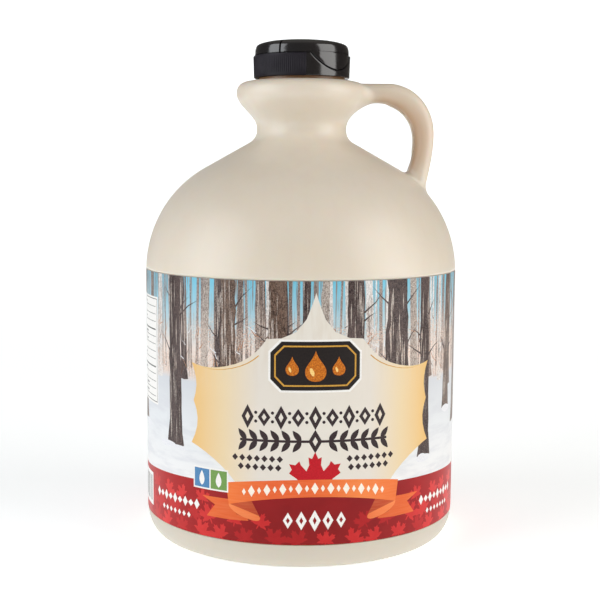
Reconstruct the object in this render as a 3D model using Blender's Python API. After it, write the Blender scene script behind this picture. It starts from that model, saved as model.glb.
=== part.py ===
"""Plastic syrup jug with a loop handle on its neck, a wrap-round label and a shut flip-top cap.

Metres, +Z up. The origin is the middle of the base, on the surface that the jug stands on.
The handle points along +X and the front is at -Y. An azimuth is counted from the front towards
the handle, so the front is 0 degrees and the handle is at 90.
"""
import math

import bmesh
import bpy
from mathutils import Vector

MM = 0.001

# Body, from the base up
BODY_R = 66.3 * MM
SEGMENTS = 60
PUSH_UP_R = 48.0 * MM
PUSH_UP_H = 2.5 * MM
FOOT_IN_R = 49.5 * MM
FOOT_OUT_R = 59.7 * MM
HEEL_TOP_Z = 12.0 * MM
DOME_START_Z = 112.5 * MM
DOME_LOW_HANDLE = 13.8 * MM
DOME_HIGH_HANDLE = 21.9 * MM
CONE_START_R = 40.8 * MM
CONE_START_Z = 155.9 * MM
CONE_SLOPE = math.radians(29.4)

# Neck, its round collar, and the finish that the cap sits on
NECK_R = 19.0 * MM
NECK_FILLET = 6.0 * MM
COLLAR_START_Z = 172.6 * MM
COLLAR_R = 27.65 * MM
COLLAR_WIDEST_Z = 187.2 * MM
PLATFORM_R = 23.0 * MM
PLATFORM_Z = 192.0 * MM
FINISH_R = 18.05 * MM
FINISH_TOP_Z = 200.8 * MM

# Label and the shallow panel that it lies in
LABEL_LOW_Z = 10.6 * MM
LABEL_HIGH_Z = 113.0 * MM
LABEL_THICKNESS = 0.35 * MM
LABEL_GAP = 0.3 * MM
LABEL_OPEN_AT_BACK = 4.6 * MM

# Handle: a bar bent round a quarter turn, with a rounded rectangle for its section
HANDLE_TOP_Z = 191.3 * MM
HANDLE_UNDER_Z = 183.4 * MM
HANDLE_ROOT_X = 13.0 * MM
HANDLE_OUT_X = 56.1 * MM
HANDLE_IN_X = 48.1 * MM
HANDLE_HALF_DEPTH = 7.5 * MM
HANDLE_CORNER = 3.5 * MM
HANDLE_FLARE = 2.2 * MM

# Cap
CAP_GAP = 0.3 * MM
SKIRT_LOW_Z = 193.4 * MM
SKIRT_HIGH_Z = 202.55 * MM
SKIRT_LOW_R = 20.36 * MM
SKIRT_HIGH_R = 20.65 * MM
RIB_COUNT = 108
RIB_DEPTH = 0.32 * MM
PLAIN_FROM_AZ = 5.0
PLAIN_TO_AZ = 95.0
RECESS_FROM_AZ = 10.0
RECESS_TO_AZ = 80.0
RECESS_DEPTH = 6.75 * MM
RECESS_WALL_R = 18.95 * MM
LID_R = 20.2 * MM
LID_SIDE_Z = 205.05 * MM
LID_EDGE_Z = 206.7 * MM
LID_CROWN_R = 16.8 * MM
LID_CROWN_Z = 208.2 * MM
LID_TOP_Z = 209.2 * MM
TAB_MARGIN_AZ = 1.4
SLIT_AZ = (-27.0, 117.0)
SLIT_WIDTH = 0.8 * MM
SLIT_DEPTH = 1.5 * MM
HINGE_AZ = 225.0
HINGE_WIDTH = 9.0 * MM


def direction(azimuth):
    """Unit vector out from the axis at an azimuth in degrees."""
    turn = math.radians(azimuth)
    return Vector((math.sin(turn), -math.cos(turn), 0.0))


def at(azimuth, radius, height):
    """Point at an azimuth in degrees, a radius and a height."""
    point = direction(azimuth) * radius
    point.z = height
    return point


def bezier(start, first, second, end, steps):
    """Points of a cubic curve, without its start."""
    points = []
    for step in range(1, steps + 1):
        t = step / steps
        u = 1.0 - t
        weights = (u * u * u, 3 * u * u * t, 3 * u * t * t, t * t * t)
        corners = (start, first, second, end)
        points.append(tuple(sum(w * c[i] for w, c in zip(weights, corners)) for i in (0, 1)))
    return points


def arc(centre, half_r, half_z, start, end, steps):
    """Points of an elliptic arc, angles in degrees from +R towards +Z, without its start."""
    points = []
    for step in range(1, steps + 1):
        turn = math.radians(start + (end - start) * step / steps)
        points.append((centre[0] + half_r * math.cos(turn), centre[1] + half_z * math.sin(turn)))
    return points


def side_radius(height):
    """Outer radius of the jug's side, from the heel up to the start of the dome."""
    if height >= HEEL_TOP_Z:
        return BODY_R
    drop = (HEEL_TOP_Z - height) / HEEL_TOP_Z
    return FOOT_OUT_R + (BODY_R - FOOT_OUT_R) * math.sqrt(1.0 - drop * drop)


def material(name, colour, roughness, metallic=0.0):
    made = bpy.data.materials.new(name)
    made.use_nodes = True
    shader = made.node_tree.nodes["Principled BSDF"]
    shader.inputs["Base Color"].default_value = (*colour, 1.0)
    shader.inputs["Roughness"].default_value = roughness
    shader.inputs["Metallic"].default_value = metallic
    return made


def finish(name, mesh_builder, paint=None, smooth=35.0):
    """Turns a bmesh into an object, its faces pointing out."""
    bmesh.ops.remove_doubles(mesh_builder, verts=mesh_builder.verts, dist=0.000002)
    bmesh.ops.recalc_face_normals(mesh_builder, faces=mesh_builder.faces)
    mesh = bpy.data.meshes.new(name)
    mesh_builder.to_mesh(mesh)
    mesh_builder.free()
    mesh.shade_smooth()
    mesh.set_sharp_from_angle(angle=math.radians(smooth))
    made = bpy.data.objects.new(name, mesh)
    bpy.context.collection.objects.link(made)
    if paint:
        mesh.materials.append(paint)
    return made


def guide(made):
    """Marks an object that only shapes another one."""
    made.hide_render = True
    made.display_type = "WIRE"
    return made


def boolean(target, operation, other):
    step = target.modifiers.new(operation.lower() + "_" + other.name, "BOOLEAN")
    step.operation = operation
    step.object = other
    step.solver = "EXACT"


def lathe(name, profile, segments, paint=None, smooth=35.0):
    """Spins a profile of (radius, height) points, from the axis to the axis, round Z."""
    builder = bmesh.new()
    points = [builder.verts.new((radius, 0.0, height)) for radius, height in profile]
    edges = [builder.edges.new(pair) for pair in zip(points, points[1:])]
    bmesh.ops.spin(builder, geom=points + edges, cent=(0, 0, 0), axis=(0, 0, 1),
                   angle=2 * math.pi, steps=segments, use_merge=True)
    return finish(name, builder, paint, smooth)


def skin(name, rings, closed=True, caps=True, paint=None, smooth=35.0):
    """Joins rings of equal length into a tube, and fills its two ends."""
    builder = bmesh.new()
    made = [[builder.verts.new(point) for point in ring] for ring in rings]
    count = len(made[0])
    for low, high in zip(made, made[1:]):
        for i in range(count if closed else count - 1):
            j = (i + 1) % count
            builder.faces.new((low[i], low[j], high[j], high[i]))
    if caps:
        builder.faces.new(made[0])
        builder.faces.new(made[-1])
    return finish(name, builder, paint, smooth)


def jug_profile():
    """Base, heel, label panel, dome, neck, collar and neck finish."""
    inset = LABEL_THICKNESS + LABEL_GAP
    low = LABEL_LOW_Z - LABEL_GAP
    high = LABEL_HIGH_Z + LABEL_GAP
    points = [(0.0, PUSH_UP_H)]
    points += bezier((0.0, PUSH_UP_H), (PUSH_UP_R * 0.55, PUSH_UP_H), (PUSH_UP_R * 0.9, PUSH_UP_H * 0.6),
                     (PUSH_UP_R, PUSH_UP_H * 0.12), 4)
    points.append((FOOT_IN_R, 0.0))
    points.append((FOOT_OUT_R, 0.0))
    for step in range(1, 6):
        height = low * (1.0 - math.cos(math.pi / 2 * step / 5))
        points.append((side_radius(height), height))
    panel = [low, HEEL_TOP_Z, (HEEL_TOP_Z + high) / 2, high]
    points += [(side_radius(height) - inset, height) for height in panel]
    cosine = math.cos(CONE_SLOPE)
    sine = math.sin(CONE_SLOPE)
    dome = bezier((BODY_R, DOME_START_Z), (BODY_R, DOME_START_Z + DOME_LOW_HANDLE),
                  (CONE_START_R + DOME_HIGH_HANDLE * cosine, CONE_START_Z - DOME_HIGH_HANDLE * sine),
                  (CONE_START_R, CONE_START_Z), 12)
    points.append((BODY_R, high))
    points += [point for point in dome if point[1] > high + 0.001]
    # The cone runs into the neck with a fillet tangent to both
    corner_z = CONE_START_Z + (CONE_START_R - NECK_R) * math.tan(CONE_SLOPE)
    turn = math.pi / 2 - CONE_SLOPE
    reach = NECK_FILLET * math.tan(turn / 2)
    points.append((NECK_R + reach * cosine, corner_z - reach * sine))
    centre = (NECK_R + NECK_FILLET, corner_z + reach)
    points += arc(centre, NECK_FILLET, NECK_FILLET, 180 + math.degrees(turn), 180, 4)
    points.append((NECK_R, COLLAR_START_Z))
    points += bezier((NECK_R, COLLAR_START_Z), (NECK_R, COLLAR_START_Z + 5.4 * MM),
                     (COLLAR_R, COLLAR_WIDEST_Z - 5.7 * MM), (COLLAR_R, COLLAR_WIDEST_Z), 7)
    points += bezier((COLLAR_R, COLLAR_WIDEST_Z), (COLLAR_R, COLLAR_WIDEST_Z + 2.6 * MM),
                     (COLLAR_R - 1.3 * MM, PLATFORM_Z - 0.5 * MM), (PLATFORM_R, PLATFORM_Z), 5)
    points.append((FINISH_R, PLATFORM_Z + 0.1 * MM))
    points.append((FINISH_R, FINISH_TOP_Z))
    points.append((0.0, FINISH_TOP_Z))
    return points


def handle_edges():
    """The handle's outer and inner edge in the X-Z plane, point by point from the collar to the dome."""
    top = HANDLE_TOP_Z
    under = HANDLE_UNDER_Z
    out = HANDLE_OUT_X
    inn = HANDLE_IN_X
    outer = [(HANDLE_ROOT_X, top), (26.0 * MM, top), (36.5 * MM, top)]
    outer += bezier(outer[-1], (47.0 * MM, top), (out, 182.4 * MM), (out, 170.0 * MM), 8)
    outer += bezier(outer[-1], (out, 160.5 * MM), (out - 2.5 * MM, 154.5 * MM), (out - 2.5 * MM, 148.6 * MM), 6)
    outer += bezier(outer[-1], (out - 2.5 * MM, 146.2 * MM), (out - 1.6 * MM, 144.6 * MM),
                    (out + 0.6 * MM, 141.5 * MM), 3)
    inner = [(HANDLE_ROOT_X, under - 2.6 * MM), (26.0 * MM, under - 1.5 * MM), (32.5 * MM, under)]
    inner += bezier(inner[-1], (42.0 * MM, under), (inn, 176.3 * MM), (inn, 167.5 * MM), 8)
    inner += bezier(inner[-1], (inn + 0.1 * MM, 162.3 * MM), (inn - 1.2 * MM, 158.4 * MM),
                    (inn - 2.5 * MM, 154.8 * MM), 6)
    inner += bezier(inner[-1], (inn - 3.1 * MM, 153.2 * MM), (inn - 4.6 * MM, 151.6 * MM),
                    (inn - 6.6 * MM, 149.0 * MM), 3)
    return outer, inner


def rounded_rectangle(half_a, half_b, radius, corner_steps):
    """Corner by corner outline, as (a, b) pairs."""
    radius = min(radius, half_a * 0.95, half_b * 0.95)
    points = []
    for side_a, side_b, start in ((1, 1, 0), (-1, 1, 90), (-1, -1, 180), (1, -1, 270)):
        for step in range(corner_steps + 1):
            turn = math.radians(start + 90 * step / corner_steps)
            points.append((side_a * (half_a - radius) + radius * math.cos(turn),
                           side_b * (half_b - radius) + radius * math.sin(turn)))
    return points


def handle_bar():
    outer, inner = handle_edges()
    rings = []
    last = len(outer) - 1
    for index, (far, near) in enumerate(zip(outer, inner)):
        middle = Vector(((far[0] + near[0]) / 2, 0.0, (far[1] + near[1]) / 2))
        across = Vector((far[0] - near[0], 0.0, far[1] - near[1]))
        half = across.length / 2
        across.normalize()
        # The bar widens where it runs into the collar and into the dome
        flare = HANDLE_FLARE * (max(0.0, 1 - index / 2) ** 2 + max(0.0, 1 - (last - index) / 4) ** 2)
        outline = rounded_rectangle(half, HANDLE_HALF_DEPTH + flare, HANDLE_CORNER, 3)
        rings.append([middle + across * a + Vector((0.0, b, 0.0)) for a, b in outline])
    return guide(skin("handle_bar", rings))


def make_jug(paint):
    jug = lathe("jug", jug_profile(), SEGMENTS, paint)
    boolean(jug, "UNION", handle_bar())
    return jug


def make_label(paint):
    """A thin strip round the body, open at the back where its two ends stop short of each other."""
    half_open = math.degrees(LABEL_OPEN_AT_BACK / 2 / BODY_R)
    step = 360 / SEGMENTS
    azimuths = [-180 + half_open]
    azimuths += [-180 + step * i for i in range(1, SEGMENTS)]
    azimuths.append(180 - half_open)
    heights = [LABEL_LOW_Z, HEEL_TOP_Z, LABEL_HIGH_Z]
    rings = []
    for azimuth in azimuths:
        outside = [at(azimuth, side_radius(height), height) for height in heights]
        inside = [at(azimuth, side_radius(height) - LABEL_THICKNESS, height) for height in reversed(heights)]
        rings.append(outside + inside)
    return skin("label", rings, paint=paint)


def recess_floor(azimuth):
    """Height of the thumb recess's curved lower edge."""
    share = (azimuth - RECESS_FROM_AZ) / (RECESS_TO_AZ - RECESS_FROM_AZ)
    bow = math.sin(math.pi * min(max(share, 0.0), 1.0))
    return SKIRT_HIGH_Z - RECESS_DEPTH * bow ** 0.8


def curved_block(name, inside, outside, floor, top, start, end, steps):
    """A block that follows the cap's wall, its floor given as a function of the azimuth."""
    rings = []
    for step in range(steps + 1):
        azimuth = start + (end - start) * step / steps
        low = floor(azimuth)
        rings.append([at(azimuth, inside, low), at(azimuth, outside, low),
                      at(azimuth, outside, top), at(azimuth, inside, top)])
    return guide(skin(name, rings))


def make_cap_base(paint):
    """The ribbed skirt round the neck finish, with a smooth stretch at the thumb recess."""
    outline = []
    plain_steps = 24
    for step in range(plain_steps + 1):
        outline.append((PLAIN_FROM_AZ + (PLAIN_TO_AZ - PLAIN_FROM_AZ) * step / plain_steps, 0.0))
    ribbed = 360.0 - (PLAIN_TO_AZ - PLAIN_FROM_AZ)
    for rib in range(2 * RIB_COUNT - 1):
        valley = RIB_DEPTH if rib % 2 == 0 else 0.0
        outline.append((PLAIN_TO_AZ + ribbed * (rib + 1) / (2 * RIB_COUNT), valley))
    rings = []
    for radius, height in ((SKIRT_LOW_R, SKIRT_LOW_Z), (SKIRT_HIGH_R, SKIRT_HIGH_Z)):
        rings.append([at(azimuth, radius - valley, height) for azimuth, valley in outline])
    base = skin("cap_base", rings, paint=paint, smooth=20.0)
    bore = [(0.0, SKIRT_LOW_Z - 5 * MM), (FINISH_R + CAP_GAP, SKIRT_LOW_Z - 5 * MM),
            (FINISH_R + CAP_GAP, FINISH_TOP_Z + CAP_GAP), (0.0, FINISH_TOP_Z + CAP_GAP)]
    boolean(base, "DIFFERENCE", guide(lathe("bore_cut", bore, SEGMENTS)))
    recess = curved_block("recess_cut", RECESS_WALL_R, SKIRT_HIGH_R + 3 * MM, recess_floor,
                          SKIRT_HIGH_Z + 3 * MM, RECESS_FROM_AZ, RECESS_TO_AZ, 20)
    boolean(base, "DIFFERENCE", recess)
    return base


def make_cap_lid(paint):
    """The flip lid, its thumb tab hanging into the recess, two slits and the hinge strap."""
    low = SKIRT_HIGH_Z + CAP_GAP
    profile = [(0.0, low), (LID_R, low)]
    profile += [(LID_R - 0.1 * MM, LID_SIDE_Z), (LID_R - 0.36 * MM, LID_EDGE_Z)]
    profile += bezier(profile[-1], (LID_R - 0.5 * MM, LID_EDGE_Z + 0.7 * MM),
                      (LID_R - 1.6 * MM, LID_CROWN_Z - 0.4 * MM), (LID_CROWN_R, LID_CROWN_Z), 4)
    profile += [(12.0 * MM, LID_TOP_Z - 0.4 * MM), (6.0 * MM, LID_TOP_Z - 0.1 * MM), (0.0, LID_TOP_Z)]
    lid = lathe("cap_lid", profile, SEGMENTS, paint)

    def tab_floor(azimuth):
        return min(recess_floor(azimuth) + CAP_GAP * 1.2, low + 0.6 * MM)

    tab = curved_block("tab_bar", RECESS_WALL_R + CAP_GAP, LID_R - 0.05 * MM, tab_floor,
                       low + MM, RECESS_FROM_AZ + TAB_MARGIN_AZ, RECESS_TO_AZ - TAB_MARGIN_AZ, 20)
    boolean(lid, "UNION", tab)
    for number, azimuth in enumerate(SLIT_AZ):
        spread = math.degrees(SLIT_WIDTH / 2 / LID_R)
        slit = curved_block("slit_cut_%d" % number, LID_R - SLIT_DEPTH, LID_R + 2 * MM,
                            lambda _: low - MM, LID_TOP_Z + MM, azimuth - spread, azimuth + spread, 1)
        boolean(lid, "DIFFERENCE", slit)
    spread = math.degrees(HINGE_WIDTH / 2 / LID_R)
    strap = curved_block("hinge_bar", SKIRT_HIGH_R + CAP_GAP, SKIRT_HIGH_R + 1.1 * MM,
                         lambda _: SKIRT_HIGH_Z - 3.2 * MM, low + 2.2 * MM,
                         HINGE_AZ - spread, HINGE_AZ + spread, 4)
    boolean(lid, "UNION", strap)
    bridge = curved_block("hinge_bridge", LID_R - 1.5 * MM, SKIRT_HIGH_R + 0.8 * MM,
                          lambda _: low + 0.3 * MM, low + 1.7 * MM,
                          HINGE_AZ - spread * 0.9, HINGE_AZ + spread * 0.9, 4)
    boolean(lid, "UNION", bridge)
    return lid


def main():
    for old in list(bpy.data.objects):
        bpy.data.objects.remove(old, do_unlink=True)
    make_jug(material("jug_plastic", (0.66, 0.55, 0.43), 0.42))
    make_label(material("label_print", (0.55, 0.50, 0.46), 0.5))
    cap = material("cap_plastic", (0.022, 0.02, 0.024), 0.3)
    make_cap_base(cap)
    make_cap_lid(cap)


main()
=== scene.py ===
"""Dresses the syrup jug: moulded beige plastic, a printed wrap-round label and a near-black cap.

Metres. The front is at -Y and the handle at +X. On the label, s is the distance in millimetres to
the right of the front's middle along the print, and z is the height in millimetres above the base.
"""
import math
import random

import bmesh
import bpy
import numpy as np
from mathutils import Matrix, Vector
from mathutils.geometry import delaunay_2d_cdt


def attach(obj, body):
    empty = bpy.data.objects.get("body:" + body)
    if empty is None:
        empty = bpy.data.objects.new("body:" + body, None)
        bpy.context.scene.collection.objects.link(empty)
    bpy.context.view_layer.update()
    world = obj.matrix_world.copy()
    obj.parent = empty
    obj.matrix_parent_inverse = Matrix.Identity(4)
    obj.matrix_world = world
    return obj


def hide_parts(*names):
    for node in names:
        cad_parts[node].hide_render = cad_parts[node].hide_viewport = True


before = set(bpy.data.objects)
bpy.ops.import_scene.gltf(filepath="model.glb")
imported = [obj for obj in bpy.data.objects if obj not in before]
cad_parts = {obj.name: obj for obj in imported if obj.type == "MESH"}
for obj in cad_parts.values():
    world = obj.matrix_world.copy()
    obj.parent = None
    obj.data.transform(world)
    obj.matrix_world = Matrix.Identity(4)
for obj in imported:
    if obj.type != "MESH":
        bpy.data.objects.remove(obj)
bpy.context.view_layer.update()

MM = 0.001

# Body, in millimetres, as in the solids
BODY_R = 66.3
PUSH_UP_R = 48.0
PUSH_UP_H = 2.5
FOOT_IN_R = 49.5
FOOT_OUT_R = 59.7
HEEL_TOP = 12.0
LABEL_LOW = 10.6
LABEL_HIGH = 113.0
LABEL_DEEP = 0.35
PANEL_DEEP = 0.65
PANEL_GAP = 0.3
LABEL_HALF = math.pi * BODY_R - 2.3
DOME_START = 112.5
CONE_START_R = 40.8
CONE_START_Z = 155.9
CONE_SLOPE = math.radians(29.4)
NECK_R = 19.0
NECK_FILLET = 6.0
COLLAR_START = 172.6
COLLAR_R = 27.65
COLLAR_WIDEST = 187.2
PLATFORM_R = 23.0
PLATFORM_Z = 192.0
FINISH_R = 18.05
FINISH_TOP = 200.8
LATHE_STEPS = 216

# Parting line: its height and half width, its half width as an angle, and the fin inside the handle
SEAM_RISE = 0.13
SEAM_HALF = 0.28
SEAM_TURN = 0.0045
SEAM_UNDER_BASE = 0.55
FIN_RISE = 0.8

# Handle
HANDLE_TOP = 191.3
HANDLE_UNDER = 183.4
HANDLE_ROOT = 13.0
HANDLE_OUT = 56.1
HANDLE_IN = 48.1
HANDLE_HALF_DEPTH = 7.5
HANDLE_CORNER = 3.6
HANDLE_GAP_X = 36.0
HANDLE_GAP_Z = 168.0
FILLET_LEAST = 0.25
FILLET_LOW = 1.8
FILLET_MORE = 2.7
JOINT_REACH = 8.5
RELAX_ROUNDS = 20

# Cap
SKIRT_LOW = 193.4
SKIRT_HIGH = 202.55
SKIRT_LOW_R = 20.36
SKIRT_HIGH_R = 20.65
CAP_GAP = 0.3
SEAM_GAP = 0.14
TAB_GAP = 0.42
RIB_COUNT = 108
RIB_DEEP = 0.14
PLAIN_FROM = 5.0
PLAIN_TO = 95.0
RECESS_FROM = 10.0
RECESS_TO = 80.0
RECESS_DEEP = 6.75
RECESS_WALL = 18.95
LID_R = 20.05
LID_TOP = 209.2
TAB_FLARE = 0.5
TAB_GROOVE = 0.8
SLITS = (333.0, 117.0)
SLIT_HALF = 1.1
SLIT_DEEP = 1.3
HINGE_AZ = 225.0
HINGE_HALF = 12.5

# Print
PLAQUE_S = 6.0
PLAQUE_HALF = 52.5
PRINT_STEP = 2.6
PRINT_LEVELS = (LABEL_LOW + 0.4, LABEL_LOW + 0.9, HEEL_TOP, 17.0, 30.0, 45.0, 60.0, 75.0, 90.0, 104.0)

# Camera, fitted to the label's edges and the outline
FOCAL_PIXELS = 1183.13
FRAME_PIXELS = 600
SENSOR = 36.0
CAMERA_Y = -0.5105
CAMERA_Z = 0.1541
CAMERA_PITCH = 0.1084
CAMERA_ROLL = 0.0060

# Light
ROOM_FRONT = 0.25
ROOM_BACK = 0.14
ROOM_TOP = 0.36
ROOM_LEFT = (1.0, 0.96, 0.91)
ROOM_RIGHT = (1.0, 0.89, 0.77)
FLOOR_GLOW = 0.48
FAR_GLOW = 0.62
FLOOR_HALF = 700.0
FLOOR_FRONT = -700.0
FLOOR_BACK = 1500.0
FLOOR_BEND = 300.0
BACKDROP_TOP = 620.0
BOX_AZ = math.radians(66.0)
BOX_AWAY = 1.25
BOX_SIZE = (1.0, 1.4)
BOX_HEIGHT = 0.5
BOX_AIM = (0.0, 0.0, 0.12)
BOX_POWER = 13.0


def curve_on(points, first, second, end, steps):
    """Runs a cubic curve on from the last of the points."""
    t = np.linspace(0, 1, steps + 1)[1:, None]
    u = 1 - t
    start, first, second, end = (np.array(p, float) for p in (points[-1], first, second, end))
    run = u ** 3 * start + 3 * u * u * t * first + 3 * u * t * t * second + t ** 3 * end
    points += [tuple(p) for p in run]


def arc(centre, radius, start, end, steps):
    """Points of an arc, angles in degrees from +R towards +Z, without its start."""
    turns = np.radians(np.linspace(start, end, steps + 1)[1:])
    return [(centre[0] + radius * math.cos(a), centre[1] + radius * math.sin(a)) for a in turns]


def side_radius(z):
    """Outer radius of the side, from the heel up to the start of the dome."""
    drop = np.clip((HEEL_TOP - np.asarray(z, float)) / HEEL_TOP, 0.0, 1.0)
    return FOOT_OUT_R + (BODY_R - FOOT_OUT_R) * np.sqrt(1 - drop * drop)


def smoothstep(low, high, value):
    t = np.clip((np.asarray(value, float) - low) / (high - low), 0.0, 1.0)
    return t * t * (3 - 2 * t)


def around_z(turn, radius, z):
    """The point at a turn in radians from the front towards the handle."""
    return radius * math.sin(turn), -radius * math.cos(turn), z


def ring_faces(rings, count):
    """Quads between closed rings of points that follow one another."""
    faces = []
    for k in range(rings - 1):
        for i in range(count):
            j = (i + 1) % count
            faces.append((k * count + i, k * count + j, (k + 1) * count + j, (k + 1) * count + i))
    return faces


def mesh_object(name, points, faces, materials, indices=None):
    """A smooth object from points in millimetres."""
    mesh = bpy.data.meshes.new(name)
    mesh.from_pydata([tuple(p) for p in np.asarray(points) * MM], [], faces)
    for paint in materials:
        mesh.materials.append(paint)
    if indices is not None:
        mesh.polygons.foreach_set("material_index", indices)
    mesh.shade_smooth()
    mesh.update()
    made = bpy.data.objects.new(name, mesh)
    bpy.context.collection.objects.link(made)
    return made


# Materials

def srgb(red, green, blue):
    """Linear colour of an 8-bit display colour."""
    values = [c / 255 for c in (red, green, blue)]
    return tuple(c / 12.92 if c < 0.04045 else ((c + 0.055) / 1.055) ** 2.4 for c in values)


def put(socket, value):
    """Gives a socket a field, a colour or a number."""
    if isinstance(value, Field):
        socket.id_data.links.new(value.socket, socket)
    elif isinstance(value, tuple) and socket.type == "RGBA":
        socket.default_value = (*value, 1.0)
    else:
        socket.default_value = value


class Field:
    """A node's output, reckoned with like a number."""

    def __init__(self, socket):
        self.socket = socket

    def step(self, kind, output, inputs, **settings):
        """One output of a new node in the same tree."""
        made = self.socket.id_data.nodes.new("ShaderNode" + kind)
        for key, value in settings.items():
            setattr(made, key, value)
        for place, value in inputs.items():
            put(made.inputs[place], value)
        return Field(made.outputs[output])

    def math(self, operation, other=0.0):
        return self.step("Math", 0, {0: self, 1: other}, operation=operation)

    def __add__(self, other):
        return self.math("ADD", other)

    def __sub__(self, other):
        return self.math("SUBTRACT", other)

    def __mul__(self, other):
        return self.math("MULTIPLY", other)

    def __abs__(self):
        return self.math("ABSOLUTE")

    def span(self, low, high, to_low=0.0, to_high=1.0):
        """The range from low to high, eased into another range."""
        inputs = {0: self, 1: low, 2: high, 3: to_low, 4: to_high}
        return self.step("MapRange", 0, inputs, interpolation_type="SMOOTHSTEP")

    def mix(self, first, second):
        """Two colours mixed by this share of the second."""
        return self.step("Mix", 2, {0: self, 6: first, 7: second}, data_type="RGBA")

    def ramp(self, *stops):
        """Display colours along this value, each stop a place and a colour."""
        ramped = self.step("ValToRGB", 0, {0: self})
        items = ramped.socket.node.color_ramp.elements
        while len(items) < len(stops):
            items.new(1.0)
        for item, (place, colour) in zip(items, stops):
            item.position = place
            item.color = (*srgb(*colour), 1.0)
        return ramped

    def noise(self, stretch, scale=1.0, detail=2.0, roughness=0.5, distortion=0.0):
        """Noise of this vector, whose axes are first stretched."""
        moved = self.step("Mapping", 0, {0: self, 3: stretch})
        return moved.step("TexNoise", 0, {"Vector": moved, "Scale": scale, "Detail": detail,
                                          "Roughness": roughness, "Distortion": distortion})

    def axes(self):
        parts = self.step("SeparateXYZ", 0, {0: self}).socket.node
        return [Field(output) for output in parts.outputs]


def coordinates(tree, name):
    return Field(tree.nodes.new("ShaderNodeTexCoord").outputs[name])


def reach(a, b):
    """Distance from the middle of two axes."""
    return (a * a + b * b).math("SQRT")


def new_material(name, colour, roughness, gloss=0.5):
    """(material, the object's own coordinates, shader)."""
    made = bpy.data.materials.new(name)
    made.use_nodes = True
    shader = made.node_tree.nodes["Principled BSDF"]
    put(shader.inputs["Base Color"], colour)
    put(shader.inputs["Roughness"], roughness)
    put(shader.inputs["Specular IOR Level"], gloss)
    return made, coordinates(made.node_tree, "Object"), shader


def bump(shader, height, strength, distance):
    inputs = {"Strength": strength, "Distance": distance, "Height": height}
    put(shader.inputs["Normal"], height.step("Bump", 0, inputs))


def jug_plastic():
    """Beige and streaky, with painted shade inside the handle's bend, in the throat under the cap and at the
    foot, and a painted highlight on the fin.
    """
    paint, own, shader = new_material("jug_plastic_moulded", srgb(220, 209, 190), 0.42)
    cloud = own.noise((1.0, 1.0, 1.0), 22.0)
    streak = own.noise((1.0, 1.0, 0.1), 200.0)
    speck = own.noise((1.0, 1.0, 1.0), 1500.0)
    base = cloud.span(0.25, 0.75).mix(srgb(221, 210, 193), srgb(226, 216, 201))
    base = streak.span(0.35, 0.8, 0.0, 0.12).mix(base, srgb(212, 197, 176))
    x, y, z = own.axes()
    slope = math.tan(CONE_SLOPE)
    cone = (CONE_START_Z + CONE_START_R * slope) * MM
    # Painted shade: the inside of the handle's bend is tinted brown, most strongly at the inner edge that
    # faces the body.
    bar = (x * slope + z).span(cone + 0.0008, cone + 0.004) * x.span(0.027, 0.034)
    around = reach(x - HANDLE_GAP_X * MM, z - HANDLE_GAP_Z * MM)
    base = (bar * around.span(0.0215, 0.0125, 0.1, 0.75)).mix(base, srgb(196, 158, 122))
    # Painted highlight: the fin inside the bend is painted pale, over the bend's painted shade.
    fin = abs(y).span(0.0004, 0.0002) * around.span(0.0185, 0.017)
    base = (bar * fin).mix(base, srgb(240, 232, 218))
    # Painted shade: the throat under the cap, between the skirt and the platform, is tinted dark brown.
    throat = reach(x, y).span(0.0215, 0.0195) * z.span(0.1915, 0.1921)
    base = throat.mix(base, srgb(164, 122, 84))
    # Painted shade: the plastic below the label, down to the foot, is painted darker and greyer.
    base = z.span(0.0108, 0.0098, 0.0, 0.9).mix(base, srgb(201, 194, 180))
    put(shader.inputs["Base Color"], base)
    put(shader.inputs["Roughness"], cloud * 0.1 + 0.33)
    put(shader.inputs["IOR"], 1.5)
    put(shader.inputs["Specular IOR Level"], 0.65)
    put(shader.inputs["Subsurface Weight"], 0.3)
    put(shader.inputs["Subsurface Radius"], (1.0, 0.5, 0.25))
    put(shader.inputs["Subsurface Scale"], 0.004)
    bump(shader, speck * 0.2 + streak * 0.4, 0.15, 0.0002)
    return paint


def cap_plastic(name, colour, roughness, gloss):
    """Near-black plastic, with faint scuffs in its gloss."""
    paint, own, shader = new_material(name, colour, roughness, gloss)
    cloud = own.noise((1.0, 1.0, 1.0), 120.0, 3.0)
    scuff = own.noise((1.0, 1.0, 0.15), 900.0, 3.0, 0.6)
    light = tuple(c * 1.4 + 0.001 for c in colour)
    put(shader.inputs["Base Color"], cloud.span(0.35, 0.7).mix(colour, light))
    put(shader.inputs["Roughness"], scuff * 0.12 + (roughness - 0.05))
    bump(shader, scuff, 0.06, 0.0001)
    return paint


INK = {}


def ink(name, colour, recipe, roughness=0.36):
    """A printed colour with the film's sheen and grain. recipe(vector, s, z) gives (colour, grain)
    at a place on the wrapped label in millimetres."""
    paint, own, shader = new_material("ink_" + name, srgb(*colour), roughness, 0.22)
    x, y, z = own.axes()
    s = x.math("ARCTAN2", y * -1.0) * BODY_R
    z = z * 1000.0
    base, grain = recipe(s.step("CombineXYZ", 0, {0: s, 1: z}), s, z)
    put(shader.inputs["Base Color"], base)
    put(shader.inputs["Roughness"], grain * 0.1 + (roughness - 0.05))
    bump(shader, grain, 0.1, 0.0001)
    INK[name] = paint


def flat_ink(name, colour, second=None, roughness=0.36):
    """A printed colour with a slight mottle."""
    second = second or tuple(max(0, c - 9) for c in colour)

    def recipe(vector, s, z):
        grain = vector.noise((1.0, 1.0, 1.0), 1.6, 3.0)
        return grain.span(0.3, 0.7).mix(srgb(*colour), srgb(*second)), grain

    ink(name, colour, recipe, roughness)


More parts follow.
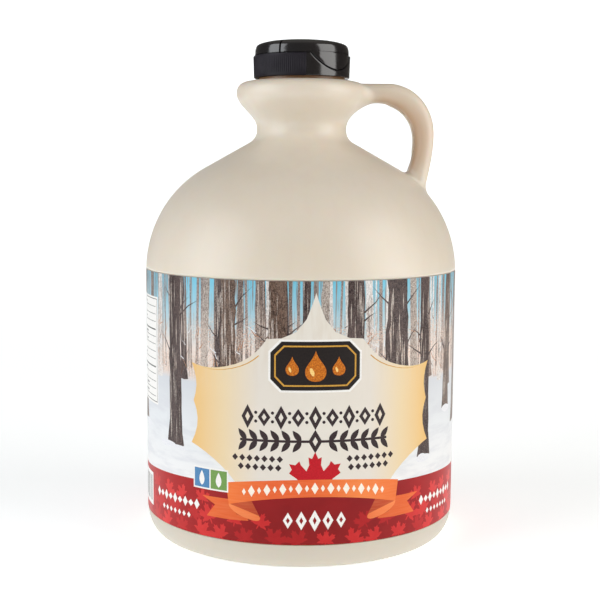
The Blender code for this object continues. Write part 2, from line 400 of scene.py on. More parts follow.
def thicket_over(vector, z, base, strength):
    """Clumps of rusty and pale twigs and dry leaves in front of the far trunks."""
    speck = vector.noise((1.5, 1.5, 1.0), 1.0, 4.0, 0.8)
    clump = vector.noise((0.07, 0.11, 1.0))
    share = z.span(104.0, 90.0) * z.span(71.0, 76.0) * clump.span(0.36, 0.58, 0.25, 1.0)
    share = share * speck.span(0.46, 0.56, 0.0, strength)
    tone = vector.noise((2.3, 2.3, 1.0))
    twigs = tone.ramp((0.32, (168, 116, 90)), (0.46, (220, 184, 162)), (0.6, (242, 232, 222)))
    return share.mix(base, twigs)


def sky_colour(vector, s, z):
    """Cold sky over a brown thicket over snow, streaked by far trunks."""
    base = ((z - 30.0) * (1 / 83.0)).ramp(
        (0.0, (236, 236, 236)), (0.28, (222, 225, 228)), (0.5, (206, 209, 214)), (0.53, (222, 210, 202)),
        (0.66, (230, 218, 210)), (0.78, (178, 206, 216)), (1.0, (112, 192, 218)))
    far = vector.noise((1.3, 0.03, 1.0), 1.0, 4.0, 0.65)
    wood = vector.noise((3.0, 0.1, 1.0)).mix(srgb(70, 60, 56), srgb(186, 176, 170))
    base = (z.span(72.0, 76.0) * far.span(0.52, 0.6)).mix(base, wood)
    base = thicket_over(vector, z, base, 1.0)
    drift = vector.noise((0.05, 0.22, 1.0), 1.0, 4.0, 0.6)
    below = z.span(75.0, 70.0) * drift.span(0.42, 0.66, 0.0, 0.5)
    return below.mix(base, srgb(206, 208, 214)), drift


def bark_ink(name, dark, light, scale, twigs=0.0):
    """Upright furrowed bark with pale and dark flecks, and twigs in front of far trunks."""
    pale, palest = ([min(255, c + more) for c in light] for more in (34, 74))

    def recipe(vector, s, z):
        furrow = vector.noise((1.9 * scale, 0.5 * scale, 1.0), 1.0, 5.0, 0.78, 0.6)
        patch = vector.noise((0.16, 0.05, 1.0), 1.0, 3.0)
        fleck = vector.noise((3.4, 1.9, 1.0))
        base = furrow.span(0.4, 0.6).mix(srgb(*dark), srgb(*light))
        base = patch.span(0.35, 0.7, 0.0, 0.3).mix(base, srgb(*pale))
        base = fleck.span(0.42, 0.3, 0.0, 0.6).mix(base, srgb(*palest))
        base = fleck.span(0.6, 0.72, 0.0, 0.8).mix(base, srgb(*[c // 2 for c in dark]))
        return (thicket_over(vector, z, base, twigs) if twigs else base), furrow

    ink(name, dark, recipe)


def plaque_colour(vector, s, z):
    """Cream in the middle, running to amber at the two wings."""
    base = (abs(s - PLAQUE_S) * (1 / PLAQUE_HALF)).ramp(
        (0.0, (226, 221, 211)), (0.42, (224, 217, 207)), (0.7, (230, 208, 168)), (1.0, (230, 186, 114)))
    grain = vector.noise((0.5, 0.08, 1.0), 1.0, 4.0)
    streaks = z.span(60.0, 100.0, 0.0, 0.4) * grain.span(0.4, 0.7)
    return streaks.mix(base, srgb(214, 202, 186)), grain


def band_ink(name, dark, light, cloudy):
    """The lower band, darkest under the ribbon and lighter towards the sides, with a painted highlight of
    the side lights.
    """
    def recipe(vector, s, z):
        grain = vector.noise((cloudy, cloudy, 1.0), 1.0, 4.0)
        # Painted highlight: the red lightens away from the middle, where the side lights would shine on it.
        share = abs(s - PLAQUE_S).span(15.0, 85.0) * 0.6 + grain * 0.4
        return share.mix(srgb(*dark), srgb(*light)), grain

    ink(name, dark, recipe)


def ribbon_ink(name, start, end, *colours):
    """Orange cloth shaded along its length, from one s to another."""
    def recipe(vector, s, z):
        grain = vector.noise((0.12, 1.4, 1.0), 1.0, 3.0)
        along = (s - start) * (1 / (end - start))
        base = along.ramp(*zip(np.linspace(0, 1, len(colours)).tolist(), colours))
        return grain.span(0.3, 0.8, 0.0, 0.12).mix(base, srgb(250, 176, 120)), grain

    ink(name, colours[0], recipe)


def make_inks():
    ink("sky", (180, 200, 210), sky_colour)
    bark_ink("near", (34, 26, 30), (88, 72, 68), 1.0)
    bark_ink("warm", (46, 34, 30), (116, 92, 78), 1.0)
    bark_ink("mid", (66, 54, 54), (140, 122, 112), 1.4, 0.6)
    bark_ink("pale", (104, 92, 88), (190, 178, 168), 1.4, 0.5)
    bark_ink("bright", (168, 160, 156), (232, 227, 222), 1.4, 0.9)
    bark_ink("far", (88, 76, 76), (166, 150, 142), 2.0, 0.9)
    ink("plaque", (236, 227, 204), plaque_colour)
    band_ink("band", (120, 6, 12), (190, 32, 34), 0.09)
    band_ink("band_leaf", (186, 28, 32), (226, 62, 58), 0.4)
    band_ink("band_deep", (160, 16, 22), (206, 46, 46), 0.4)
    ribbon_ink("ribbon", -29.0, 42.0,
               (236, 120, 56), (228, 96, 44), (226, 98, 44), (240, 132, 66), (232, 112, 52))
    ribbon_ink("tail", -41.0, 53.0,
               (228, 104, 48), (214, 88, 40), (206, 78, 36), (214, 88, 40), (228, 104, 48))
    ribbon_ink("fold", -28.0, 40.0, (196, 74, 36), (160, 52, 28), (160, 52, 28), (196, 74, 36))
    ribbon_ink("curl", -28.0, 40.0, (238, 132, 74), (220, 100, 50), (220, 100, 50), (238, 132, 74))
    flat_ink("snow", (233, 233, 235), (220, 222, 228))
    flat_ink("twig", (198, 150, 116), (168, 118, 90))
    flat_ink("twig_dark", (104, 70, 54), (84, 58, 48))
    flat_ink("gold", (214, 164, 72), (190, 138, 52))
    flat_ink("amber", (214, 128, 34), (168, 82, 18), 0.3)
    flat_ink("gleam", (250, 216, 140), (240, 196, 110))
    flat_ink("espresso", (26, 20, 20), (36, 28, 26))
    flat_ink("brown", (48, 36, 40), (58, 44, 46))
    flat_ink("leaf_red", (196, 18, 36), (180, 12, 28))
    flat_ink("cream", (250, 240, 226))
    flat_ink("white", (243, 241, 238))
    flat_ink("slate", (84, 136, 182))
    flat_ink("moss", (118, 158, 84))
    flat_ink("black", (40, 38, 40), (54, 52, 54))
    flat_ink("grey", (110, 108, 110), (140, 138, 140))


# The print's layout

SHAPES = []


def shape(points, paint):
    """Adds an outline, turned anticlockwise, in front of all earlier ones."""
    outline = [tuple(map(float, p)) for p in points]
    doubled = sum(a[0] * b[1] - b[0] * a[1] for a, b in zip(outline, outline[1:] + outline[:1]))
    SHAPES.append((outline if doubled > 0 else outline[::-1], paint))


def placed(pairs, s, z, turn=0.0):
    """Points turned anticlockwise, in radians, and moved to (s, z)."""
    cosine, sine = math.cos(turn), math.sin(turn)
    return [(s + a * cosine - b * sine, z + a * sine + b * cosine) for a, b in pairs]


def symmetric(half, s=0.0):
    """A closed outline from its right half, whose first point is on the middle line at s."""
    return [(s + a, b) for a, b in half] + [(s - a, b) for a, b in half[:0:-1]]


def ellipse(s, z, half_s, half_z, paint, steps=20, turn=0.0):
    angles = np.linspace(0, 2 * math.pi, steps, endpoint=False)
    pairs = [(half_s * math.cos(a), half_z * math.sin(a)) for a in angles]
    shape(placed(pairs, s, z, math.radians(turn)), paint)


def box(s0, z0, s1, z1, paint):
    shape([(s0, z0), (s1, z0), (s1, z1), (s0, z1)], paint)


def lozenge(s, z, half_s, half_z, paint):
    shape([(s - half_s, z), (s, z - half_z), (s + half_s, z), (s, z + half_z)], paint)


def simple_leaf(s, z, length, width, turn, paint):
    """A plain pointed leaf growing from (s, z) at a turn in degrees from straight up."""
    t = np.linspace(0, 1, 9)
    half = width / 2 * np.sin(math.pi * t ** 0.8) ** 0.9
    right = [(h, length * a) for a, h in zip(t, half)]
    left = [(-h, length * a) for a, h in zip(t, half)][-2:0:-1]
    shape(placed(right + left, s, z, -math.radians(turn)), paint)


def lobed_leaf(s, z, size, turn, paint):
    """A plain leaf with five pointed, toothed lobes and a stalk, turned in degrees from upright."""
    half = [(0, 1.0), (0.08, 0.82), (0.17, 0.86), (0.15, 0.66), (0.22, 0.50), (0.36, 0.66), (0.40, 0.76),
            (0.50, 0.66), (0.66, 0.68), (0.59, 0.54), (0.66, 0.44), (0.46, 0.30), (0.38, 0.20), (0.52, 0.15),
            (0.60, 0.02), (0.40, 0.03), (0.20, 0.0), (0.05, 0.07), (0.035, -0.22)]
    outline = [(size * a, size * b) for a, b in symmetric(half)]
    shape(placed(outline, s, z, -math.radians(turn)), paint)


def trunk(rng, s, width, foot, paint, lean=0.0, lit=None):
    """A standing trunk that tapers upwards and flares at its foot, with lit plates of bark if asked."""
    heights = np.append(np.arange(foot, LABEL_HIGH + 2, 5.0), LABEL_HIGH + 2)
    left, right = [], []
    for z in heights:
        rise = (z - foot) / (LABEL_HIGH - foot)
        half = width / 2 * (1.0 - 0.18 * rise) + width * 0.16 * math.exp(-(z - foot) / 3.5)
        middle = s + lean * rise
        left.append((middle - half + rng.uniform(-0.05, 0.05) * width, z))
        right.append((middle + half + rng.uniform(-0.05, 0.05) * width, z))
    shape(left[::-1] + [(s, foot - width * 0.1)] + right, paint)
    if not lit:
        return
    for _ in range(int(width * 2.2)):
        side = rng.uniform(-0.42, 0.34)
        low = rng.uniform(foot, LABEL_HIGH - 8)
        length = rng.uniform(5, 17)
        half = rng.uniform(0.15, 0.42) * (1.3 if side < -0.1 else 0.8)
        middle = s + lean * (low - foot) / (LABEL_HIGH - foot) + side * width
        plate = [(0, 0), (half, length * 0.4), (half * 0.3, length), (-half, length * 0.6)]
        shape(placed(plate, middle, low), lit)


def branch(rng, s, z, length, turn, paint, half=0.4):
    """A bare twig that bends a little and thins to a point."""
    bend = rng.uniform(-0.12, 0.12) * length
    thin = half * 0.55
    points = [(0, -half), (length * 0.5, bend - thin), (length, bend * 0.6), (length * 0.5, bend + thin),
              (0, half)]
    shape(placed(points, s, z, turn), paint)


def lay_out_wood():
    """Three depths of trunks all round the label, the far ones thin and pale."""
    rng = random.Random(41)
    s = -LABEL_HALF - 4
    while s < LABEL_HALF + 4:
        paint = rng.choice(("far", "far", "mid", "bright"))
        trunk(rng, s, rng.uniform(0.7, 1.7), rng.uniform(73.0, 77.0), paint, rng.uniform(-1, 1))
        s += rng.uniform(1.9, 4.4)
    s = -LABEL_HALF - 2
    while s < LABEL_HALF + 4:
        paint = rng.choice(("mid", "pale", "near", "bright"))
        trunk(rng, s, rng.uniform(2.2, 4.6), rng.uniform(67.0, 74.0), paint, rng.uniform(-2, 2), "pale")
        s += rng.uniform(6.5, 12.0)
    for _ in range(420):
        paint = rng.choice(("twig", "twig", "twig_dark", "snow"))
        turn = math.radians(rng.uniform(25, 155))
        branch(rng, rng.uniform(-LABEL_HALF, LABEL_HALF), rng.uniform(74, 97) - 6 * rng.random() ** 2,
               rng.uniform(2.5, 7.5), turn, paint, rng.uniform(0.12, 0.26))
    near = [(-195, 11, 52), (-168, 8, 60), (-146, 14, 48), (-118, 9, 57), (-93, 12, 50), (-56.5, 8.5, 45),
            (-29, 7.5, 61), (-9, 8.0, 70), (22.0, 8.0, 66), (40.5, 12.0, 63), (56.5, 6.5, 41), (75, 6.5, 58),
            (90, 10, 50), (112, 13, 46), (131, 8, 60), (152, 11, 52), (176, 9, 57), (200, 12, 49)]
    for s, width, foot in near:
        for side in (-1, -1, 1, 1):
            turn = math.radians(90 + side * -rng.uniform(35, 65))
            branch(rng, s + side * width * 0.3, rng.uniform(78, 104), rng.uniform(7, 15), turn, "near")
        trunk(rng, s, width, foot, rng.choice(("near", "near", "warm")), rng.uniform(-1.5, 1.5), "pale")
        for _ in range(3):
            ellipse(s + rng.uniform(-0.7, 0.7) * width, foot - rng.uniform(0.2, 1.2),
                    width * rng.uniform(0.4, 0.7), rng.uniform(0.7, 1.5), "snow", 14)


def lay_out_plaque():
    """An ogee plaque with two wings behind everything in the middle, with a fine rim along its wings."""
    side = [(0, 108.6), (1.3, 104.5), (3.6, 98.5), (7.5, 93.6), (13.0, 91.2), (18.5, 90.8)]
    curve_on(side, (21.0, 87.4), (24.0, 83.2), (31.0, 80.6), 6)
    curve_on(side, (39.0, 77.8), (46.0, 77.8), (51.5, 79.5), 6)
    curve_on(side, (48.6, 74.0), (48.4, 70.0), (50.6, 64.5), 5)
    curve_on(side, (47.4, 58.5), (48.0, 53.5), (51.8, 47.5), 5)
    curve_on(side, (45.0, 45.5), (36.0, 40.5), (31.0, 34.0), 6)
    half = [(a * PLAQUE_HALF / 51.8, z) for a, z in side]
    shape(symmetric(half, PLAQUE_S), "plaque")
    inner, outer = ([(a * share, 68 + (z - 68) * share) for a, z in half] for share in (0.93, 0.945))
    for mirror in (1, -1):
        shape([(PLAQUE_S + mirror * a, z) for a, z in outer[8:] + inner[:7:-1]], "gold")


def lay_out_medallion():
    """A dark plaque with cut corners, pinstripes and amber drops."""
    s, z = PLAQUE_S, 80.6
    for half_s, half_z, cut, paint in ((18.2, 10.2, 4.6, "white"), (17.4, 9.4, 4.3, "espresso"),
                                       (15.9, 7.9, 3.6, "gold"), (15.3, 7.3, 3.35, "espresso")):
        corners = [(half_s - cut, -half_z), (half_s, -half_z + cut),
                   (half_s, half_z - cut), (half_s - cut, half_z)]
        shape(placed(corners + [(-a, -b) for a, b in corners], s, z), paint)
    for offset, size in ((0.0, 1.0), (-9.0, 0.62), (9.0, 0.62)):
        tip = z + 5.9 * size
        half = [(0, tip)]
        curve_on(half, (0.9 * size, tip - 3.6 * size), (4.1 * size, tip - 5.6 * size),
                 (4.1 * size, tip - 8.0 * size), 7)
        curve_on(half, (4.1 * size, tip - 11.0 * size), (1.9 * size, tip - 11.9 * size),
                 (0, tip - 11.9 * size), 6)
        left = [(s + offset - a, b) for a, b in half[-2:0:-1]]
        shape([(s + offset + a, b) for a, b in half] + left, "amber")
        ellipse(s + offset - 1.4 * size, tip - 8.2 * size, 0.75 * size, 1.7 * size, "gleam", 12, 20)


def lay_out_rows():
    """Two bold rows of plain ornament in dark brown, with smaller ones under them, and the red leaf."""
    for index in range(-4, 5):
        s = PLAQUE_S + index * 6.6
        tall = 4.7 if index % 2 == 0 else 3.6
        lozenge(s, 60.6, 2.5, tall, "brown")
        lozenge(s, 60.6, 0.95, tall * 0.4, "plaque")
        if index < 4:
            ellipse(s + 3.3, 62.3, 0.65, 0.65, "brown", 10)
            ellipse(s + 3.3, 58.9, 0.65, 0.65, "brown", 10)
    box(PLAQUE_S - 29.5, 50.9, PLAQUE_S + 29.5, 51.9, "brown")
    lozenge(PLAQUE_S, 51.4, 2.7, 4.6, "brown")
    lozenge(PLAQUE_S, 51.4, 1.0, 1.8, "plaque")
    for side in (-1, 1):
        for index in range(6):
            s = PLAQUE_S + side * (5.4 + index * 4.3)
            simple_leaf(s, 51.4, 5.4, 2.3, side * 38, "brown")
            simple_leaf(s, 51.4, 5.4, 2.3, 180 - side * 38, "brown")
    for side in (-1, 1):
        for start, z, count in ((13.6, 44.3, 7), (14.2, 40.9, 6)):
            for index in range(count):
                lozenge(PLAQUE_S + side * (start + index * 3.0), z, 1.25, 1.35, "brown")
    lobed_leaf(PLAQUE_S, 32.2, 15.2, 0, "leaf_red")


def lay_out_band():
    """The red band with tone-on-tone leaves in staggered rows, none of them behind the ribbon."""
    top = [(s, 33.6 - 2.6 * ((s - 4) / 90) ** 2 if abs(s - 4) < 90 else 31.0)
           for s in np.arange(-216, 217, 6)]
    shape([(-216, 8), (216, 8)] + top[::-1], "band")
    rng = random.Random(7)
    for row, z in enumerate((11.0, 17.6, 24.6)):
        start = -208 + (5.2 if row == 1 else 0)
        for index in range(41):
            s = start + index * 10.4 + rng.uniform(-0.8, 0.8)
            away = abs(s - PLAQUE_S)
            if (away < 44 and z > 20) or (away < 16 and z > 12):
                continue
            turn = (0, 38, -32)[(index + row) % 3] + rng.uniform(-14, 14)
            size = rng.uniform(5.6, 7.4)
            if z + size > 30.5:
                size = 5.4
            lobed_leaf(s, z, size, turn, rng.choice(("band_leaf", "band_leaf", "band_deep")))


def lay_out_ribbon():
    """An arched banner whose ends fold under and come out as tails, with a row of lozenges."""
    def top(s):
        return 36.5 - 2.9 * ((s - PLAQUE_S) / 36.0) ** 2

    def low(s):
        return 29.6 - 4.5 * ((s - PLAQUE_S) / 34.5) ** 2

    tail = [(30.0, 27.2), (46.8, 27.0), (40.6, 24.1), (44.6, 19.1), (34.0, 19.0), (26.0, 19.3)]
    under = [(34.6, 26.4), (25.0, 27.8), (21.4, 21.2), (24.0, 19.7), (31.0, 21.4)]
    curl = [(34.5, 25.0)]
    curve_on(curl, (33.8, 22.8), (29.0, 20.4), (24.0, 19.6), 8)
    curve_on(curl, (21.4, 19.2), (20.6, 20.4), (21.8, 21.6), 5)
    curve_on(curl, (26.0, 23.2), (30.6, 24.4), (34.5, 25.4), 6)
    for side in (-1, 1):
        for outline, paint in ((tail, "tail"), (under, "fold"), (curl[1:], "curl")):
            shape([(PLAQUE_S + side * a, z) for a, z in outline], paint)
    stations = np.linspace(-35.6, 35.6, 25)
    upper = [(PLAQUE_S + a, top(PLAQUE_S + a)) for a in stations]
    lower = [(PLAQUE_S + a * 0.965, low(PLAQUE_S + a * 0.965)) for a in stations]
    shape(lower + upper[::-1], "ribbon")
    for index in range(-9, 10):
        s = PLAQUE_S + index * 3.1
        half_s, half_z = (1.4, 2.3) if index % 2 == 0 else (0.8, 1.4)
        lozenge(s, (top(s) + low(s)) / 2, half_s, half_z, "cream")


def lay_out_panels():
    """Two small tiles, a white panel of rules and dashes, and a strip of upright bars."""
    box(-45.4, 29.6, -28.6, 38.4, "white")
    for left, paint in ((-44.8, "slate"), (-36.7, "moss")):
        box(left, 30.2, left + 7.5, 37.8, paint)
    for middle in (-41.05, -32.95):
        simple_leaf(middle, 31.0, 6.0, 2.6, 0, "white")
    left, right, low, high = -121.0, -71.0, 58.5, 103.0
    for inset, paint in ((0.0, "white"), (0.8, "black"), (1.1, "white")):
        box(left + inset, low + inset, right - inset, high - inset, paint)
    rng = random.Random(5)
    for row in range(13):
        z = 99.0 - 3.1 * row
        thick = 0.55 if row % 5 == 3 else 0.22
        box(left + 2.4, z - thick, right - 2.4, z, "black")
        for mark in range(rng.randint(3, 6)):
            start = left + 3.5 + mark * rng.uniform(5.0, 7.0)
            if start + 4 < right - 3:
                box(start, z + 0.75, start + rng.uniform(2.0, 4.4), z + 1.5, "grey")
    box(-108.0, 14.5, -78.0, 28.5, "white")
    rng = random.Random(23)
    s = -105.5
    while s < -81.0:
        wide = rng.choice((0.35, 0.35, 0.7, 1.05))
        box(s, 16.2, s + wide, 27.0, "black")
        s += wide + rng.choice((0.45, 0.45, 0.8, 1.2))


def lay_out_small():
    """White ornament under the ribbon and at both sides."""
    for index in range(-2, 3):
        s = PLAQUE_S + index * 5.2
        tall = 4.2 - 0.5 * abs(index)
        lozenge(s, 20.3, 2.3 - 0.2 * abs(index), tall, "white")
        lozenge(s, 20.3, 0.75, tall * 0.38, "band")
    for middle in (-57.0, 68.5):
        for index in range(-4, 5):
            lozenge(middle + index * 3.3, 22.8, 1.45, 2.1 if index % 2 == 0 else 1.4, "white")
        for index in range(-3, 4):
            lozenge(middle + index * 2.9, 17.6, 1.0, 1.2, "white")


def lay_out_print():
    box(-LABEL_HALF, LABEL_LOW, LABEL_HALF, LABEL_HIGH, "sky")
    lay_out_wood()
    lay_out_plaque()
    lay_out_medallion()
    lay_out_rows()
    lay_out_band()
    lay_out_ribbon()
    lay_out_small()
    lay_out_panels()


def print_regions():
    """The layout cut into triangles, each with the number of its topmost shape."""
    points, faces = [], []
    for outline, _ in SHAPES:
        ring = []
        for start, end in zip(outline, outline[1:] + outline[:1]):
            count = max(1, math.ceil(abs(end[0] - start[0]) / PRINT_STEP))
            for index in range(count):
                ring.append(len(points))
                points.append(Vector(start).lerp(Vector(end), index / count))
        faces.append(ring)
    for s in np.arange(-LABEL_HALF + 1.3, LABEL_HALF, PRINT_STEP):
        points += [Vector((float(s), z)) for z in PRINT_LEVELS]
    verts, _, cells, _, _, sources = delaunay_2d_cdt(points, [], faces, 0, 1e-4, True)
    kept = [(cell, max(source)) for cell, source in zip(cells, sources) if 0 in source]
    return np.array([tuple(v) for v in verts]), kept


def make_label():
    """The print's triangles wrapped round the side, with a white back and edges."""
    lay_out_print()
    flat, kept = print_regions()
    names = sorted({paint for _, paint in SHAPES})
    white = names.index("white")
    used = sorted({index for cell, _ in kept for index in cell})
    renumber = {old: new for new, old in enumerate(used)}
    flat = flat[used]
    count = len(used)
    s, z = flat.T
    radius = side_radius(z)
    circle = np.stack([np.sin(s / BODY_R), -np.cos(s / BODY_R)], -1)
    outside = np.column_stack([circle * radius[:, None], z])
    inside = np.column_stack([circle * (radius - LABEL_DEEP)[:, None], z])
    normal = np.column_stack([circle, (side_radius(z - 0.05) - side_radius(z + 0.05)) / 0.1])
    normal /= np.linalg.norm(normal, axis=1)[:, None]
    faces, inks, normals = [], [], []
    edges = set()
    for cell, source in kept:
        a, b, c = (renumber[i] for i in cell)
        if (s[b] - s[a]) * (z[c] - z[a]) < (z[b] - z[a]) * (s[c] - s[a]):
            b, c = c, b
        faces += [(a, b, c), (c + count, b + count, a + count)]
        inks += [names.index(SHAPES[source][1]), white]
        normals += [normal[a], normal[b], normal[c], -normal[c], -normal[b], -normal[a]]
        edges |= {(a, b), (b, c), (c, a)}
    for a, b in sorted(edges):
        if (b, a) not in edges:
            faces.append((b, a, a + count, b + count))
            inks.append(white)
            out = np.cross(outside[b] - outside[a], inside[a] - outside[a])
            normals += [-out / (np.linalg.norm(out) + 1e-12)] * 4
    label = mesh_object("label_wrap", np.vstack([outside, inside]), faces, [INK[n] for n in names], inks)
    label.data.normals_split_custom_set([Vector(n) for n in normals])
    return label


# Jug

def jug_profile():
    """(radius, height) points from the middle of the base to the top of the finish, closely spaced."""
    low = LABEL_LOW - PANEL_GAP
    high = LABEL_HIGH + PANEL_GAP
    points = [(0.0, PUSH_UP_H), (6.0, PUSH_UP_H), (12.0, PUSH_UP_H)]
    curve_on(points, (PUSH_UP_R * 0.6, PUSH_UP_H), (PUSH_UP_R * 0.88, PUSH_UP_H * 0.9),
             (PUSH_UP_R, PUSH_UP_H * 0.3), 12)
    curve_on(points, (PUSH_UP_R + 0.5, 0.2), (PUSH_UP_R + 0.9, 0.0), (FOOT_IN_R + 0.6, 0.0), 4)
    points += [(54.0, 0.0), (57.5, 0.0)]
    heel = [low * (1 - math.cos(math.pi / 2 * i / 14)) for i in range(15)]
    points += [(float(side_radius(z)), z) for z in heel]
    points[-1] = (float(side_radius(low)) - 0.12, low)
    points.append((float(side_radius(low)) - PANEL_DEEP, low + 0.08))
    for z in np.concatenate([np.linspace(low + 0.6, HEEL_TOP, 3), np.linspace(20, high - 4, 14)]):
        points.append((float(side_radius(z)) - PANEL_DEEP, float(z)))
    points += [(BODY_R - PANEL_DEEP, high - 0.08), (BODY_R - 0.14, high), (BODY_R - 0.02, high + 0.14)]
    cosine, sine = math.cos(CONE_SLOPE), math.sin(CONE_SLOPE)
    dome = [(BODY_R, DOME_START)]
    curve_on(dome, (BODY_R, DOME_START + 13.8), (CONE_START_R + 21.9 * cosine, CONE_START_Z - 21.9 * sine),
             (CONE_START_R, CONE_START_Z), 46)
    points += [point for point in dome if point[1] > high + 0.6]
    corner = CONE_START_Z + (CONE_START_R - NECK_R) * math.tan(CONE_SLOPE)
    turn = math.pi / 2 - CONE_SLOPE
    cut = NECK_FILLET * math.tan(turn / 2)
    end = (NECK_R + cut * cosine, corner - cut * sine)
    for share in np.linspace(0, 1, 14)[1:]:
        points.append((CONE_START_R + (end[0] - CONE_START_R) * share,
                       CONE_START_Z + (end[1] - CONE_START_Z) * share))
    points += arc((NECK_R + NECK_FILLET, corner + cut), NECK_FILLET, 180 + math.degrees(turn), 180, 10)
    points.append((NECK_R, COLLAR_START))
    curve_on(points, (NECK_R, COLLAR_START + 5.4), (COLLAR_R, COLLAR_WIDEST - 5.7),
             (COLLAR_R, COLLAR_WIDEST), 22)
    curve_on(points, (COLLAR_R, COLLAR_WIDEST + 2.6), (COLLAR_R - 1.3, PLATFORM_Z - 0.5),
             (PLATFORM_R, PLATFORM_Z), 12)
    return points + [(21.5, PLATFORM_Z + 0.03), (FINISH_R + 0.5, PLATFORM_Z + 0.1),
                     (FINISH_R, PLATFORM_Z + 0.5), (FINISH_R, 196.0), (FINISH_R, FINISH_TOP - 0.4),
                     (FINISH_R - 0.4, FINISH_TOP), (10.0, FINISH_TOP), (0.0, FINISH_TOP)]


def lathe_azimuths():
    """Even azimuths in radians, with close ones beside the two parting lines at the handle's plane."""
    turns = list(np.linspace(0, 2 * math.pi, LATHE_STEPS, endpoint=False))
    for middle in (math.pi / 2, 3 * math.pi / 2):
        turns = [a for a in turns if abs(a - middle) > 0.012]
        turns += [middle - 0.011, middle - SEAM_TURN, middle, middle + SEAM_TURN, middle + 0.011]
    return sorted(turns)


def parting_line(turn, radius, z):
    """(radius, height) with the mould's parting line raised, and the pinched seam across the base."""
    near = min(abs(turn - math.pi / 2), abs(turn - 3 * math.pi / 2))
    rise = max(0.0, 1.0 - near / SEAM_TURN)
    if z < 3.0 and radius < 47.0:
        return radius, z - SEAM_UNDER_BASE * rise
    if z > FINISH_TOP - 1 or LABEL_LOW - 1 < z < LABEL_HIGH + 1 or z < 3.0:
        return radius, z
    return min(radius + SEAM_RISE * rise, max(radius, BODY_R)), z


def turned(profile):
    """(points, faces) of a profile turned round Z, with the parting line."""
    turns = lathe_azimuths()
    count = len(turns)
    points, faces, rings = [], [], []
    for radius, z in profile:
        here = turns if radius else [0.0]
        rings.append(range(len(points), len(points) + len(here)))
        points += [around_z(turn, *(parting_line(turn, radius, z) if radius else (0.0, z))) for turn in here]
    for low, high in zip(rings, rings[1:]):
        for i in range(count):
            j = (i + 1) % count
            if len(low) == 1:
                faces.append((low[0], high[j], high[i]))
            elif len(high) == 1:
                faces.append((low[i], low[j], high[0]))
            else:
                faces.append((low[i], low[j], high[j], high[i]))
    return points, faces


def handle_edges():
    """Outer and inner edge of the handle in the X-Z plane, from the collar to the dome, finely spaced."""
    outer = [(x, HANDLE_TOP) for x in np.linspace(HANDLE_ROOT, 36.5, 22)]
    curve_on(outer, (47.0, HANDLE_TOP), (HANDLE_OUT, 182.4), (HANDLE_OUT, 170.0), 34)
    low_out = HANDLE_OUT - 3.1
    curve_on(outer, (HANDLE_OUT, 161.0), (low_out + 1.2, 155.0), (low_out, 148.0), 26)
    curve_on(outer, (low_out - 0.5, 145.1), (low_out - 1.2, 143.0), (low_out - 2.4, 140.5), 9)
    inner = [(x, HANDLE_UNDER) for x in np.linspace(HANDLE_ROOT, 32.5, 22)]
    curve_on(inner, (42.0, HANDLE_UNDER), (HANDLE_IN, 176.3), (HANDLE_IN, 167.5), 34)
    curve_on(inner, (HANDLE_IN + 0.1, 162.3), (HANDLE_IN - 1.2, 158.4), (HANDLE_IN - 2.5, 154.8), 26)
    curve_on(inner, (HANDLE_IN - 3.3, 152.6), (HANDLE_IN - 3.8, 149.6), (HANDLE_IN - 4.2, 145.0), 9)
    return np.array(outer), np.array(inner)


def line_distance(line, places):
    """(distance, slope) of places from a line in its plane, above zero on the line's right."""
    start, end = line[:-1], line[1:]
    step = end - start
    share = ((places[:, None] - start) * step).sum(-1) / np.maximum((step * step).sum(-1), 1e-12)
    gap = places[:, None] - (start + np.clip(share, 0, 1)[..., None] * step)
    squares = (gap * gap).sum(-1)
    best = np.argmin(squares, axis=1)
    rows = np.arange(len(places))
    gap, step = gap[rows, best], step[best]
    length = np.sqrt(squares[rows, best])
    side = np.where(step[:, 1] * gap[:, 0] - step[:, 0] * gap[:, 1] >= 0, 1.0, -1.0)
    level = np.column_stack([step[:, 1], -step[:, 0]])
    level /= np.maximum(np.linalg.norm(step, axis=1), 1e-9)[:, None]
    away = gap * side[:, None] / np.maximum(length, 1e-9)[:, None]
    slope = np.where((length > 1e-4)[:, None], away, level)
    return length * side, slope


def inside_outline(outline, places):
    """Whether each place lies inside a closed outline in its plane."""
    start, end = outline[:-1], outline[1:]
    x, z = places[:, :1], places[:, 1:]
    rise = end[:, 1] - start[:, 1]
    crossed = start[:, 0] + (z - start[:, 1]) * (end[:, 0] - start[:, 0]) / np.where(rise == 0, 1.0, rise)
    spans = (start[:, 1] > z) != (end[:, 1] > z)
    return (spans & (x < crossed)).sum(1) % 2 == 1


